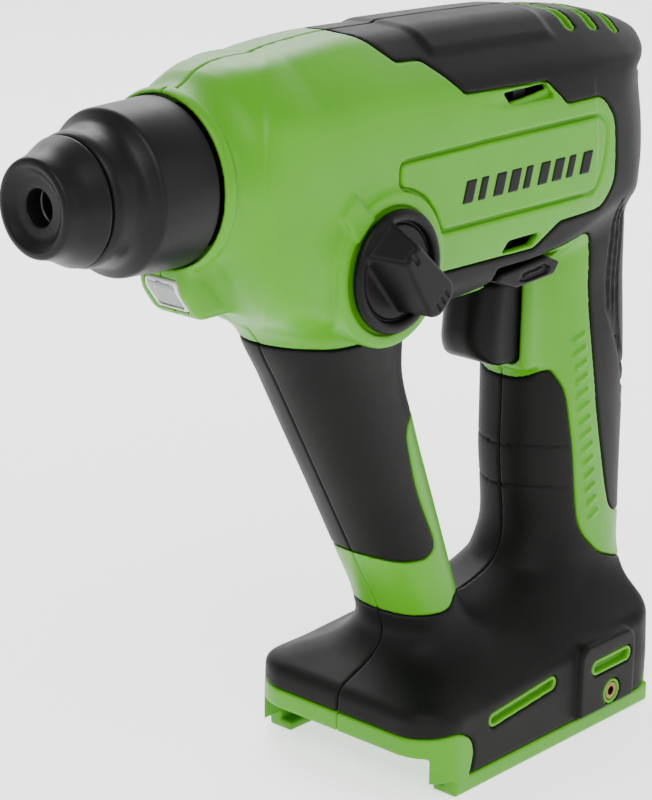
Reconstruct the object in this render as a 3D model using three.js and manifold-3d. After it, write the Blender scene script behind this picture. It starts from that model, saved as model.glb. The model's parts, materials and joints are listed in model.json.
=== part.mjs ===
// Cordless D-handle rotary hammer: bare tool without its battery pack.
// Millimetres. +X runs from the chuck to the back of the grip, +Y to the tool's right side when
// looking from behind the chuck, +Z up. The origin is under the middle, where the rails rest.
import * as THREE from "three";
import { mergeVertices } from "three/addons/utils/BufferGeometryUtils.js";
import Module from "manifold-3d";

const wasm = await Module();
wasm.setup();

// ---------------------------------------------------------------- driving dimensions
const SPINDLE_Z = 202.3; // height of the spindle axis over the rails
const NOSE_X = -127; // front face of the dust cap
const BODY_HALF = 30; // half-width of the motor body
const FOOT_HALF = 39.5; // half-width of the battery foot
const FOOT_FRONT = -5.6;
const FOOT_BACK = 116;
const RAIL_TOP = 5.7; // the rails run under the foot, from the floor to here
const CHANNEL_TOP = 14; // ceiling of the battery channel
const WALL = 3; // moulded wall, hard plastic and rubber together
const RUBBER = 1.4; // thickness of the rubber skins
const GAP = 0.3; // air left between pieces that touch
const SEAM = 0.15; // half the gap between the two housing halves

const MODULE_OUTPUT = 1.0; // gear module of the spindle stage
const MODULE_INPUT = 0.9; // gear module of the motor stage
const TEETH_SPINDLE = 45;
const TEETH_PINION = 13;
const TEETH_DRIVEN = 36;
const TEETH_MOTOR = 9;
const LAYSHAFT_Z = SPINDLE_Z - (MODULE_OUTPUT * (TEETH_SPINDLE + TEETH_PINION)) / 2;
const MOTOR_Z = LAYSHAFT_Z + (MODULE_INPUT * (TEETH_DRIVEN + TEETH_MOTOR)) / 2;

const BIT_BORE = 5.06; // radius of the bore for a 10 mm grooved shank
const HOLDER_NECK = 13; // radius of the tool holder where its bearing and seal sit
const TUBE_BORE = 9.8; // radius of the hammer tube's bore
const TUBE_OUTER = 12.8;
const TUBE_BACK = 8;
const RUN = 0.2; // radial air of a bearing on the faceted spindle
const SEAL_FRONT = -74; // bottom of the recess that the locking sleeve slides into
const BALL_X = -95;
const BALL_RADIUS = 3.4;
const BALL_REACH = 7.3; // distance of a locking ball's centre from the spindle axis
const WOBBLE_X = 18; // centre of the wobble bearing
const DIAL_X = -19.7;
const DIAL_Z = 171.9;
const DIAL_RADIUS = 18.3;
const DIAL_FACE = BODY_HALF + 4.5;
const LEVER_FACE = 44.6;
const LEVER_ANGLE = THREE.MathUtils.degToRad(-49); // the lever's slope down to the back
const PAD_FACE = FOOT_HALF + 2;
const TRIGGER_LOW = 121.6;
const TRIGGER_HIGH = 150;
const TRIGGER_HALF = 10.8;
const TRIGGER_FRONT = 48;
const TRIGGER_BACK = 75.5; // rear face, inside the grip's mouth
const TRIGGER_TRAVEL = 6;

const MERGE = 1e-3; // corners closer than this are one
const LATHE_STEPS = 24;
const RING_STEPS = 20;
const HOLLOW_STEPS = 16; // coarser rings inside, where nobody looks

// ---------------------------------------------------------------- colours
function material(color, roughness, metalness = 0) {
  return new THREE.MeshStandardMaterial({ color, roughness, metalness });
}
const GREEN = material(0x63b52a, 0.45);
const BLACK_RUBBER = material(0x1c1c1e, 0.85);
const BLACK_PLASTIC = material(0x202023, 0.5);
const STEEL = material(0x8d9196, 0.35, 0.9);
const DARK_STEEL = material(0x55585c, 0.4, 0.85);
const ALUMINIUM = material(0xb4b8bc, 0.45, 0.8);
const BRASS = material(0xb58a3c, 0.4, 0.9);
const BOARD = material(0x1f5a34, 0.6);
const CLEAR = material(0xe8eef2, 0.15);
const WHITE = material(0xd8d8d4, 0.6);

// ---------------------------------------------------------------- solids
// A closed geometry with merged corners, turned the right way out.
function closed(geometry) {
  const bare = geometry.clone();
  bare.deleteAttribute("normal");
  bare.deleteAttribute("uv");
  const merged = mergeVertices(bare, MERGE);
  const points = merged.attributes.position;
  const index = Array.from(merged.index.array);
  let volume = 0;
  const corner = [new THREE.Vector3(), new THREE.Vector3(), new THREE.Vector3()];
  for (let i = 0; i < index.length; i += 3) {
    corner.forEach((vector, k) => vector.fromBufferAttribute(points, index[i + k]));
    volume += corner[0].dot(corner[1].cross(corner[2]));
  }
  if (volume < 0) {
    index.reverse();
  }
  merged.setIndex(index);
  return merged;
}

function solid(geometry) {
  const shape = closed(geometry);
  const mesh = new wasm.Mesh({
    numProp: 3,
    vertProperties: new Float32Array(shape.attributes.position.array),
    triVerts: new Uint32Array(shape.index.array),
  });
  return new wasm.Manifold(mesh);
}

function geometryOf(manifold) {
  const mesh = manifold.getMesh();
  const geometry = new THREE.BufferGeometry();
  geometry.setAttribute("position", new THREE.BufferAttribute(mesh.vertProperties, 3));
  geometry.setIndex(new THREE.BufferAttribute(mesh.triVerts, 1));
  return geometry;
}

function box(x, y, z) {
  const geometry = new THREE.BoxGeometry(x[1] - x[0], y[1] - y[0], z[1] - z[0]);
  return geometry.translate((x[0] + x[1]) / 2, (y[0] + y[1]) / 2, (z[0] + z[1]) / 2);
}

// A turned piece on an axis along X. The profile is a list of [x, radius].
function turned(profile, axisZ, steps = LATHE_STEPS) {
  const points = profile.map(([x, radius]) => new THREE.Vector2(radius, x));
  const geometry = new THREE.LatheGeometry(points, steps);
  geometry.rotateZ(-Math.PI / 2);
  return geometry.translate(0, 0, axisZ);
}

function tube(x, inner, outer, axisZ, steps = LATHE_STEPS) {
  const profile = [[x[0], inner], [x[0], outer], [x[1], outer], [x[1], inner], [x[0], inner]];
  return turned(profile, axisZ, steps);
}

function rod(x, radius, axisZ, steps = LATHE_STEPS) {
  return turned([[x[0], 0], [x[0], radius], [x[1], radius], [x[1], 0]], axisZ, steps);
}

// A cylinder along Y between two faces.
function crossRod(y, radius, x, z, steps = 20) {
  const geometry = new THREE.CylinderGeometry(radius, radius, y[1] - y[0], steps);
  return geometry.translate(x, (y[0] + y[1]) / 2, z);
}

function outline(points) {
  return new THREE.Shape(points.map(([u, v]) => new THREE.Vector2(u, v)));
}

// A plate cut from a side view: outline in X and Z, between two Y faces.
function sidePlate(shape, y) {
  const geometry = new THREE.ExtrudeGeometry(shape, {
    depth: y[1] - y[0],
    bevelEnabled: false,
    curveSegments: 8,
  });
  geometry.rotateX(Math.PI / 2);
  return geometry.translate(0, y[1], 0);
}

// A plate cut from a front view: outline in Y and Z, between two X faces.
function frontPlate(shape, x) {
  const geometry = new THREE.ExtrudeGeometry(shape, {
    depth: x[1] - x[0],
    bevelEnabled: false,
    curveSegments: 8,
  });
  geometry.rotateX(Math.PI / 2);
  geometry.rotateZ(Math.PI / 2);
  return geometry.translate(x[0], 0, 0);
}

// Skin over rings that all have the same number of corners, closed by a fan at each end.
function loft(rings) {
  const count = rings[0].length;
  const points = rings.flat();
  const index = [];
  for (let ring = 0; ring < rings.length - 1; ring += 1) {
    for (let i = 0; i < count; i += 1) {
      const a = ring * count + i;
      const b = ring * count + ((i + 1) % count);
      index.push(a, b, a + count, b, b + count, a + count);
    }
  }
  const ends = [0, rings.length - 1];
  for (const ring of ends) {
    const centre = new THREE.Vector3();
    rings[ring].forEach((point) => centre.add(point));
    centre.divideScalar(count);
    const hub = points.push(centre) - 1;
    for (let i = 0; i < count; i += 1) {
      const a = ring * count + i;
      const b = ring * count + ((i + 1) % count);
      index.push(...(ring === 0 ? [b, a, hub] : [a, b, hub]));
    }
  }
  const geometry = new THREE.BufferGeometry().setFromPoints(points);
  geometry.setIndex(index);
  return geometry;
}

function unite(solids) {
  return solids.reduce((whole, next) => whole.add(next));
}

// ---------------------------------------------------------------- the moulded outer form
// Motor body stations along X: [x, top, bottom, half-width, roundness]. Roundness 1 is a circle.
const BODY_STATIONS = [
  [-80, SPINDLE_Z + 25.5, SPINDLE_Z - 25.5, 25.5, 1],
  [-75, SPINDLE_Z + 25.5, SPINDLE_Z - 25.5, 25.5, 1],
  [-70, 231, 172, 28.6, 0.6],
  [-65, 234, 165, BODY_HALF, 0.1],
  [-53, 234.8, 158.5, BODY_HALF, 0],
  [-39, 235.6, 151, BODY_HALF, 0],
  [-18, 236.8, 148, BODY_HALF, 0],
  [12, 236.4, 150, BODY_HALF, 0],
  [45, 235.6, 151, BODY_HALF, 0],
  [75, 234.3, 156, BODY_HALF, 0],
  [95, 232.2, 164, 27.6, 0],
  [105, 229.8, 168, 23.4, 0],
  [113, 226.5, 171, 17.4, 0.1],
  [119, 220.5, 177, 10.4, 0.4],
  [122.5, 213, 186, 4, 0.8],
];
// Half of the body's cross-section from the top centre to the bottom centre, as
// [share of the half-width, millimetres down from the top or up from the bottom].
const CROWN = [[0, 0], [0.4, 1], [0.67, 6.6], [0.95, 15.5], [1, 22]];
const BELLY = [[1, 20], [0.93, 9], [0.7, 3], [0.35, 0.7], [0, 0]];
// Grip and strut stations along Z: [z, front, back, half-width].
const GRIP_STATIONS = [
  [208, 74, 117, 20],
  [185, 72, 120, 23],
  [170, 70, 118, 22],
  [155, 71, 121, 20],
  [140, 72.2, 123.6, 19],
  [112, 72.4, 128, 18.5],
  [90, 72.4, 128, 18.5],
  [75, 74.5, 128, 18.5],
  [62, 76.5, 127.6, 19],
  [50, 72.5, 126.4, 21],
  [41.5, 56, 124, 25],
  [33, 44, 118, 29],
];
const STRUT_STATIONS = [
  [176, -44, 10, 24],
  [160, -44, 14, 24],
  [147.5, -41.8, 12.6, 19],
  [135, -34.6, 12.5, 18],
  [113, -22.3, 19, 17.5],
  [93, -11.1, 26.5, 17],
  [68, 2.9, 35.5, 17],
  [50, 13, 41.5, 18.5],
  [39, 16, 49, 22],
  [31, 14, 56, 27],
];
// Foot stations along Z: [z, front, back, half-width].
const FOOT_STATIONS = [
  [RAIL_TOP, FOOT_FRONT, FOOT_BACK, FOOT_HALF],
  [20, FOOT_FRONT + 0.6, FOOT_BACK, FOOT_HALF],
  [29, FOOT_FRONT + 2, FOOT_BACK - 0.5, FOOT_HALF - 0.5],
  [34, FOOT_FRONT + 5.5, FOOT_BACK - 3, FOOT_HALF - 4],
  [38, FOOT_FRONT + 12, FOOT_BACK - 8, FOOT_HALF - 11],
  [42, FOOT_FRONT + 22, FOOT_BACK - 14, FOOT_HALF - 20],
];
const FOOT_CORNER = 15;

function bodyRing([x, top, bottom, half, round], inset) {
  const middle = (top + bottom) / 2;
  const shrinkY = (half - inset) / half;
  const shrinkZ = ((top - bottom) / 2 - inset) / ((top - bottom) / 2);
  const side = [
    ...CROWN.map(([share, down]) => [share * half, top - down]),
    ...BELLY.map(([share, up]) => [share * half, bottom + up]),
  ];
  const rounded = side.map(([y, z], k) => {
    const angle = (Math.PI * k) / (side.length - 1);
    const circleY = half * Math.sin(angle);
    const circleZ = middle + ((top - bottom) / 2) * Math.cos(angle);
    return [y + (circleY - y) * round, z + (circleZ - z) * round];
  });
  const other = rounded.slice(1, -1).reverse().map(([y, z]) => [-y, z]);
  return [...rounded, ...other].map(([y, z]) => (
    new THREE.Vector3(x, y * shrinkY, middle + (z - middle) * shrinkZ)
  ));
}

function bodySolid(inset) {
  const first = BODY_STATIONS[0][0];
  const last = BODY_STATIONS[BODY_STATIONS.length - 1][0];
  const middle = (first + last) / 2;
  const shrink = ((last - first) / 2 - inset) / ((last - first) / 2);
  const rings = BODY_STATIONS.map(([x, ...rest]) => {
    const ring = bodyRing([x, ...rest], Math.min(inset, rest[2] * 0.8));
    return ring.map((point) => point.setX(middle + (x - middle) * shrink));
  });
  return solid(loft(rings));
}

function ovalRing(z, front, back, half, power, steps) {
  const ring = [];
  for (let i = 0; i < steps; i += 1) {
    const angle = (2 * Math.PI * i) / steps;
    const c = Math.cos(angle);
    const s = Math.sin(angle);
    const x = Math.sign(c) * Math.abs(c) ** (2 / power);
    const y = Math.sign(s) * Math.abs(s) ** (2 / power);
    ring.push(new THREE.Vector3((front + back) / 2 + ((back - front) / 2) * x, half * y, z));
  }
  return ring;
}

function columnSolid(stations, inset, power) {
  const steps = inset < WALL ? RING_STEPS : HOLLOW_STEPS;
  const rings = stations.map(([z, front, back, half]) => (
    ovalRing(z, front + inset, back - inset, half - inset, power, steps)
  ));
  return solid(loft(rings));
}

function footRing([z, front, back, half], inset) {
  const corner = FOOT_CORNER - inset;
  const centres = [
    [back - FOOT_CORNER, half - FOOT_CORNER, 0],
    [front + FOOT_CORNER, half - FOOT_CORNER, 1],
    [front + FOOT_CORNER, FOOT_CORNER - half, 2],
    [back - FOOT_CORNER, FOOT_CORNER - half, 3],
  ];
  const ring = [];
  for (const [x, y, quarter] of centres) {
    for (let i = 0; i <= 4; i += 1) {
      const angle = ((quarter + i / 4) * Math.PI) / 2;
      ring.push(new THREE.Vector3(x + corner * Math.cos(angle), y + corner * Math.sin(angle), z));
    }
  }
  return ring;
}

function footSolid(inset) {
  const rings = FOOT_STATIONS.map((station) => footRing(station, inset));
  rings[rings.length - 1].forEach((point) => point.setZ(point.z - inset));
  return solid(loft(rings));
}

// The whole outer form, moved inwards by the inset.
function outerForm(inset) {
  const lampNose = solid(box([-81 + inset, -62], [-9.5 + inset, 9.5 - inset], [163 + inset, 185]));
  const collarHalf = TRIGGER_HALF + 3 - inset;
  const triggerCollar = solid(box([66.6 + inset, 80], [-collarHalf, collarHalf],
    [TRIGGER_LOW - 3 + inset, TRIGGER_HIGH + 3]));
  return unite([
    triggerCollar,
    bodySolid(inset),
    columnSolid(GRIP_STATIONS, inset, 2.6),
    columnSolid(STRUT_STATIONS, inset, 2.3),
    footSolid(inset),
    lampNose,
  ]);
}

// ---------------------------------------------------------------- regions of black rubber
const REAR_REGION = [
  [-8, 260], [-15, 230.4], [12, 229], [17, 217], [52.7, 216], [65.4, 208.2], [82.4, 208.2],
  [90.6, 200.7], [90.7, 168], [94.9, 153.8], [98.2, 128.8], [104.6, 98.3], [110.4, 68.7],
  [118, 61], [140, 60], [140, 260],
];
const STRUT_REGION = [
  [-60, 147.3], [-5, 147.3], [4, 150.5], [4, 140], [8, 121], [14.5, 98], [21, 75], [19, 70.5],
  [-20, 73.8], [-60, 73.8],
];
const FOOT_REGION = [
  [-20, 18], [7, 21.5], [13, 16.3], [14, 8.8], [14, RAIL_TOP + 1], [105.4, RAIL_TOP + 1],
  [108, 12.6], [130, 16], [130, 42.5], [118.7, 43.3], [104.4, 48.6], [95.5, 58.8], [90.6, 89],
  [83.7, 111.4], [75.5, 118.5], [60, 118.5], [60, 60], [44, 49], [30, 47.5], [13, 52], [-20, 54],
];

// Moves an outline's corners inwards along the line that halves each corner's angle.
function shrunk(points, inset) {
  const turn = THREE.ShapeUtils.isClockWise(points.map(([u, v]) => new THREE.Vector2(u, v))) ? 1 : -1;
  return points.map((point, i) => {
    const before = points[(i + points.length - 1) % points.length];
    const after = points[(i + 1) % points.length];
    const entry = new THREE.Vector2(point[0] - before[0], point[1] - before[1]).normalize();
    const leave = new THREE.Vector2(after[0] - point[0], after[1] - point[1]).normalize();
    const normal = new THREE.Vector2(entry.y + leave.y, -entry.x - leave.x).normalize();
    const stretch = 1 / Math.max(0.4, Math.sqrt((1 + entry.dot(leave)) / 2));
    return [point[0] + turn * inset * stretch * normal.x, point[1] + turn * inset * stretch * normal.y];
  });
}

function regionPrism(region) {
  return solid(sidePlate(outline(region), [-60, 60]));
}

function rubberSkin(region, outer, core) {
  return outer.subtract(core).intersect(regionPrism(shrunk(region, GAP)));
}

// ---------------------------------------------------------------- housing halves
const SCREW_SPOTS = [[-56, 226], [84, 224], [22, 60], [102, 56]];
const SCREW_HEAD = 3.6;

function cavities() {
  const bore = solid(turned([
    [-84, 0], [-84, 24.1], [SEAL_FRONT, 24.1], [SEAL_FRONT, 20.4], [-60, 20.4], [-60, 0],
  ], SPINDLE_Z));
  const dialSeat = solid(crossRod([-60, -20], DIAL_RADIUS - 4, DIAL_X, DIAL_Z));
  const mouthHalf = TRIGGER_HALF + 0.5;
  const triggerMouth = solid(box([55, 84], [-mouthHalf, mouthHalf], [TRIGGER_LOW - 1, TRIGGER_HIGH + 1]));
  const selectorSlot = solid(box([32, 66], [-60, 60], [152.8, 162]));
  const lampMouth = solid(box([-90, -69], [-6.6, 6.6], [165, 176]));
  const ventSlots = [];
  for (const side of [-1, 1]) {
    const y = side < 0 ? [-40, -20] : [20, 40];
    ventSlots.push(solid(box([34, 55], y, [211.5, 214.5])));
    ventSlots.push(solid(box([30, 50], y, [166.5, 169.5])));
  }
  for (const x of [78, 90, 102]) {
    ventSlots.push(solid(box([x - 1.8, x + 1.8], [3, 19], [222, 245])));
    ventSlots.push(solid(box([x - 1.8, x + 1.8], [-19, -3], [222, 245])));
  }
  return unite([bore, dialSeat, triggerMouth, selectorSlot, lampMouth, ...ventSlots]);
}

// Hollow inside: the front is left thick, to hold the spindle bearing.
function hollow() {
  const room = outerForm(WALL);
  const frontBlock = solid(box([-90, -60], [-60, 60], [160, 260]));
  const belowCeiling = solid(box([-60, 160], [-60, 60], [-10, CHANNEL_TOP + WALL]));
  return room.subtract(frontBlock).subtract(belowCeiling);
}

function channel() {
  const wide = solid(box([-20, FOOT_BACK - 8], [-34.5, 34.5], [5, CHANNEL_TOP]));
  const terminals = solid(box([74, 96], [-16, 16], [CHANNEL_TOP - 1, CHANNEL_TOP + WALL + 2]));
  return wide.add(terminals);
}

// Rails under the foot: an upright strip each side with a flange turned inwards.
function rails() {
  const pieces = [];
  for (const side of [-1, 1]) {
    const upright = side < 0 ? [-FOOT_HALF, -34.5] : [34.5, FOOT_HALF];
    const flange = side < 0 ? [-36, -30] : [30, 36];
    pieces.push(solid(box([6, 108], upright, [0, RAIL_TOP + 0.6])));
    pieces.push(solid(box([6, 108], flange, [0, 3.2])));
  }
  return unite(pieces);
}

// Raised pads on the foot's sides and the round boss under the dial, grown by a margin.
function padsAndBoss(margin) {
  const pieces = [];
  const corners = [[67, RAIL_TOP], [97, RAIL_TOP], [97, 28], [94, 31], [70, 31], [67, 28]];
  for (const side of [-1, 1]) {
    const inner = FOOT_HALF - 2 - margin;
    const pad = side < 0 ? [-PAD_FACE, -inner] : [inner, PAD_FACE];
    pieces.push(solid(sidePlate(outline(shrunk(corners, -margin)), pad)));
  }
  const boss = [-BODY_HALF - 1.2, -BODY_HALF + 5];
  pieces.push(solid(crossRod(boss, DIAL_RADIUS + 4.3 + margin, DIAL_X, DIAL_Z, 28)));
  return unite(pieces);
}

function screwPosts(radius, y) {
  return unite(SCREW_SPOTS.map(([x, z]) => solid(crossRod(y, radius, x, z, 14))));
}

function hookHoles() {
  return unite([-1, 1].map((side) => {
    const y = side < 0 ? [-50, -33] : [33, 50];
    return solid(crossRod(y, 3.2, 84.2, 11.5, 16));
  }));
}

function housing() {
  const outer = outerForm(0);
  const core = outerForm(RUBBER);
  const coreGap = outerForm(RUBBER - GAP);
  const extras = padsAndBoss(0);
  const clearance = padsAndBoss(GAP);
  const rubberRegions = unite([REAR_REGION, STRUT_REGION, FOOT_REGION].map(regionPrism));
  const shell = outer.subtract(rubberRegions)
    .add(core)
    .add(extras)
    .add(rails())
    .subtract(hollow())
    .subtract(channel())
    .subtract(cavities())
    .subtract(hookHoles());
  const posts = screwPosts(SCREW_HEAD + 1.6, [-24, 24]).intersect(core);
  const drilled = shell.add(posts)
    .subtract(screwPosts(SCREW_HEAD + GAP, [7.3, 60]))
    .subtract(screwPosts(1.9, [-12, 20]));
  const skins = [REAR_REGION, STRUT_REGION, FOOT_REGION].map((region) => (
    rubberSkin(region, outer, coreGap)
      .subtract(clearance)
      .subtract(cavities())
      .subtract(screwPosts(SCREW_HEAD + 1, [8, 60]))
  ));
  return { drilled, skins };
}

function half(whole, side) {
  const y = side < 0 ? [-80, -SEAM] : [SEAM, 80];
  return whole.intersect(solid(box([-200, 200], y, [-20, 300])));
}

// A solid whose corners have been merged, as its mesh will be.
function settled(whole) {
  return solid(geometryOf(whole));
}

// Only the largest body is kept: trimming can leave crumbs at a region's edge.
function largest(whole) {
  const bodies = whole.decompose();
  return bodies.reduce((best, next) => (next.volume() > best.volume() ? next : best));
}

// ---------------------------------------------------------------- chuck and hammer
const AXIS = SPINDLE_Z;

function noseCap() {
  return turned([
    [NOSE_X, BIT_BORE], [NOSE_X + 0.4, 11.6], [NOSE_X + 2, 13.4], [NOSE_X + 6, 14.4],
    [-114.6, 17.66], [-114.6, 13.2], [-119.6, 13.2], [-119.6, BIT_BORE], [NOSE_X, BIT_BORE],
  ], AXIS);
}

function lockingSleeve() {
  return turned([
    [-114, 13.4], [-114, 18], [-112, 18.5], [-106.5, 18.6], [-104, 19.6], [-102.2, 21.4],
    [-101.2, 23], [-81.6, 23.7], [-81.6, 17.2], [-93.2, 17.2], [-93.2, 11.3], [-96.6, 11.3],
    [-96.6, 14.6], [-104, 14.6], [-104, 13.4], [-114, 13.4],
  ], AXIS);
}

function toolHolder() {
  const body = turned([
    [-119.2, BIT_BORE], [-119.2, 12.9], [-116.4, 12.9], [-116.4, 11], [-78, 11],
    [-78, 16.6], [-74.8, 16.6], [-74.8, HOLDER_NECK], [-60.3, HOLDER_NECK], [-60.3, 7], [-74.4, 7],
    [-74.4, BIT_BORE], [-119.2, BIT_BORE],
  ], AXIS);
  const windows = solid(new THREE.CylinderGeometry(BALL_RADIUS + GAP, BALL_RADIUS + GAP, 40, 16)
    .rotateX(Math.PI / 2).translate(BALL_X, 0, AXIS));
  return solid(body).subtract(windows);
}

function lockBall(side) {
  return new THREE.SphereGeometry(BALL_RADIUS, 14, 10)
    .translate(BALL_X, 0, AXIS + side * BALL_REACH);
}

function coilSpring(x, radius, wire, turns, axisZ) {
  const steps = turns * 10;
  const points = [];
  for (let i = 0; i <= steps; i += 1) {
    const angle = (2 * Math.PI * i) / 10;
    const along = x[0] + wire + ((x[1] - x[0] - 2 * wire) * i) / steps;
    points.push(new THREE.Vector3(along, radius * Math.cos(angle), radius * Math.sin(angle) + axisZ));
  }
  const section = new THREE.Shape();
  section.absarc(0, 0, wire, 0, 2 * Math.PI);
  return new THREE.ExtrudeGeometry(section, {
    steps,
    curveSegments: 3,
    bevelEnabled: false,
    extrudePath: new THREE.CatmullRomCurve3(points),
  });
}

function gearOutline(teeth, module, hole, phase) {
  const pitch = (teeth * module) / 2;
  const shape = new THREE.Shape();
  const step = (2 * Math.PI) / teeth;
  const flanks = [[-0.29, -1.15], [-0.1, 0.85], [0.1, 0.85], [0.29, -1.15]];
  for (let tooth = 0; tooth < teeth; tooth += 1) {
    for (const [share, height] of flanks) {
      const angle = phase + (tooth + share) * step;
      const radius = pitch + height * module;
      const [u, v] = [radius * Math.cos(angle), radius * Math.sin(angle)];
      if (shape.curves.length === 0 && tooth === 0 && share === flanks[0][0]) {
        shape.moveTo(u, v);
      } else {
        shape.lineTo(u, v);
      }
    }
  }
  shape.closePath();
  if (hole > 0) {
    shape.holes.push(new THREE.Path().absarc(0, 0, hole, 0, 2 * Math.PI, true));
  }
  return shape;
}

// The phase turns a tooth (0) or a gap (half a tooth) to the top of the gear.
function gear(x, teeth, module, hole, topPhase, axisZ) {
  const phase = Math.PI / 2 + (topPhase * 2 * Math.PI) / teeth;
  const geometry = frontPlate(gearOutline(teeth, module, hole, phase), x);
  return geometry.translate(0, 0, axisZ);
}

// ---------------------------------------------------------------- motor and brackets
function fanWheel() {
  const hub = solid(tube([51, 57], 3.2, 8, MOTOR_Z));
  const disc = solid(tube([51, 52.4], 7, 22, MOTOR_Z));
  const blades = [];
  for (let i = 0; i < 9; i += 1) {
    const blade = new THREE.BoxGeometry(6.6, 1.4, 14.6);
    blade.translate(55, 0, 14);
    blade.rotateX((2 * Math.PI * i) / 9);
    blades.push(solid(blade.translate(0, 0, MOTOR_Z)));
  }
  return unite([hub, disc, ...blades]);
}

function stator() {
  const ring = solid(tube([64, 92], 20, 24, MOTOR_Z));
  const teeth = [];
  for (let i = 0; i < 6; i += 1) {
    const tooth = new THREE.BoxGeometry(28, 7.5, 8.5);
    tooth.translate(78, 0, 16.6);
    tooth.rotateX((2 * Math.PI * (i + 0.5)) / 6);
    teeth.push(solid(tooth.translate(0, 0, MOTOR_Z)));
  }
  return unite([ring, ...teeth]);
}

function bracket(x, z, halfWidth, holes) {
  const shape = outline([
    [-halfWidth, z[0] + 11], [-11, z[0]], [11, z[0]], [halfWidth, z[0] + 11],
    [halfWidth, z[1] - 12], [halfWidth - 10, z[1]], [10 - halfWidth, z[1]],
    [-halfWidth, z[1] - 12],
  ]);
  for (const [radius, axisZ] of holes) {
    shape.holes.push(new THREE.Path().absarc(0, axisZ, radius, 0, 2 * Math.PI, true));
  }
  return frontPlate(shape, x);
}

function wobbleRing() {
  const ring = solid(tube([WOBBLE_X - 3, WOBBLE_X + 3], 9.2, 13.5, LAYSHAFT_Z));
  const finger = solid(new THREE.CylinderGeometry(2.6, 3.2, 19, 16).rotateX(Math.PI / 2)
    .translate(WOBBLE_X, 0, LAYSHAFT_Z + 12.5 + 9.5));
  return ring.add(finger);
}

function wobbleHub() {
  const ball = new THREE.SphereGeometry(8.8, 24, 14).translate(WOBBLE_X, 0, LAYSHAFT_Z);
  const slice = solid(box([WOBBLE_X - 6, WOBBLE_X + 6], [-10, 10], [LAYSHAFT_Z - 10, LAYSHAFT_Z + 10]));
  const bore = solid(rod([0, 40], 4.8, LAYSHAFT_Z));
  return solid(ball).intersect(slice).subtract(bore);
}

function piston() {
  const body = solid(turned([[-8, 0], [-8, 9.5], [25, 9.5], [25, 0]], AXIS));
  const clevisGap = solid(box([12.5, 30], [-4.6, 4.6], [AXIS - 12, AXIS + 12]));
  const pinHole = solid(crossRod([-12, 12], 4.3, WOBBLE_X, AXIS));
  return body.subtract(clevisGap).subtract(pinHole);
}

function pistonPin() {
  const pin = solid(crossRod([-9, 9], 4, WOBBLE_X, AXIS));
  const eye = solid(new THREE.CylinderGeometry(3.3, 3.3, 20, 16).rotateX(Math.PI / 2)
    .translate(WOBBLE_X, 0, AXIS));
  return pin.subtract(eye);
}

// ---------------------------------------------------------------- controls
function modeDial() {
  const disc = solid(crossRod([-DIAL_FACE, -BODY_HALF - 1.5], DIAL_RADIUS, DIAL_X, DIAL_Z, 32));
  const spigot = solid(crossRod([-BODY_HALF - 2, -BODY_HALF + 5], DIAL_RADIUS - 4.6, DIAL_X, DIAL_Z, 24));
  const lever = new THREE.BoxGeometry(28, 13, 9.5);
  lever.rotateY(-LEVER_ANGLE).translate(DIAL_X, -LEVER_FACE + 6.5, DIAL_Z);
  return unite([disc, spigot, solid(lever)]);
}

function dialCam() {
  const stem = solid(crossRod([-BODY_HALF + 5.3, -19.4], 7, DIAL_X, DIAL_Z, 20));
  const pin = solid(crossRod([-19.6, -15.4], 1.8, DIAL_X, DIAL_Z + 4.5, 14));
  return stem.add(pin);
}

function shiftFork() {
  const plate = solid(frontPlate(outline([
    [-14.9, LAYSHAFT_Z - 4], [-14.9, LAYSHAFT_Z + 12.6], [9, LAYSHAFT_Z + 12.6],
    [9, LAYSHAFT_Z + 2], [-9, LAYSHAFT_Z - 4],
  ]), [DIAL_X + 4.4, DIAL_X + 6.6]));
  const tongue = solid(box([DIAL_X - 6, DIAL_X + 5.4], [-14.9, -12.5], [DIAL_Z - 2, DIAL_Z + 10]));
  const sleeveRoom = solid(rod([-30, 0], 8.2, LAYSHAFT_Z));
  return plate.add(tongue).subtract(sleeveRoom);
}

function clutchSleeve() {
  const groove = [DIAL_X + 4, DIAL_X + 7];
  return turned([
    [groove[0] - 5, 4.8], [groove[0] - 5, 10], [groove[0], 10], [groove[0], 7.8],
    [groove[1], 7.8], [groove[1], 10], [groove[1] + 5, 10], [groove[1] + 5, 4.8],
    [groove[0] - 5, 4.8],
  ], LAYSHAFT_Z);
}

function trigger() {
  const side = new THREE.Shape();
  side.moveTo(TRIGGER_BACK, TRIGGER_HIGH);
  side.lineTo(TRIGGER_FRONT + 3.4, TRIGGER_HIGH);
  side.quadraticCurveTo(TRIGGER_FRONT + 2.4, TRIGGER_HIGH - 14, TRIGGER_FRONT, TRIGGER_LOW + 6);
  side.quadraticCurveTo(TRIGGER_FRONT + 0.6, TRIGGER_LOW, TRIGGER_FRONT + 7, TRIGGER_LOW);
  side.lineTo(TRIGGER_BACK, TRIGGER_LOW);
  side.closePath();
  return sidePlate(side, [-TRIGGER_HALF, TRIGGER_HALF]);
}

function directionSelector() {
  const end = outline([[33, 157.6], [43, 153.8], [62, 154.8], [64.8, 158.4], [58, 161.4], [35, 159.6]]);
  const pieces = [-1, 1].map((side) => (
    solid(sidePlate(end, side < 0 ? [-27.5, -20] : [20, 27.5]))
  ));
  return unite([...pieces, solid(box([52, 61], [-21, 21], [155.2, 159.4]))]);
}

function lampLens() {
  return solid(box([-81.6, -75], [-6.2, 6.2], [165.4, 175.6]));
}

function screw([x, z]) {
  return turned([
    [0, 0], [0, 1.6], [16, 1.6], [16, SCREW_HEAD], [18.4, SCREW_HEAD], [18.4, 0],
  ], 0, 12).rotateZ(Math.PI / 2).translate(x, -8.4, z);
}

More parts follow.
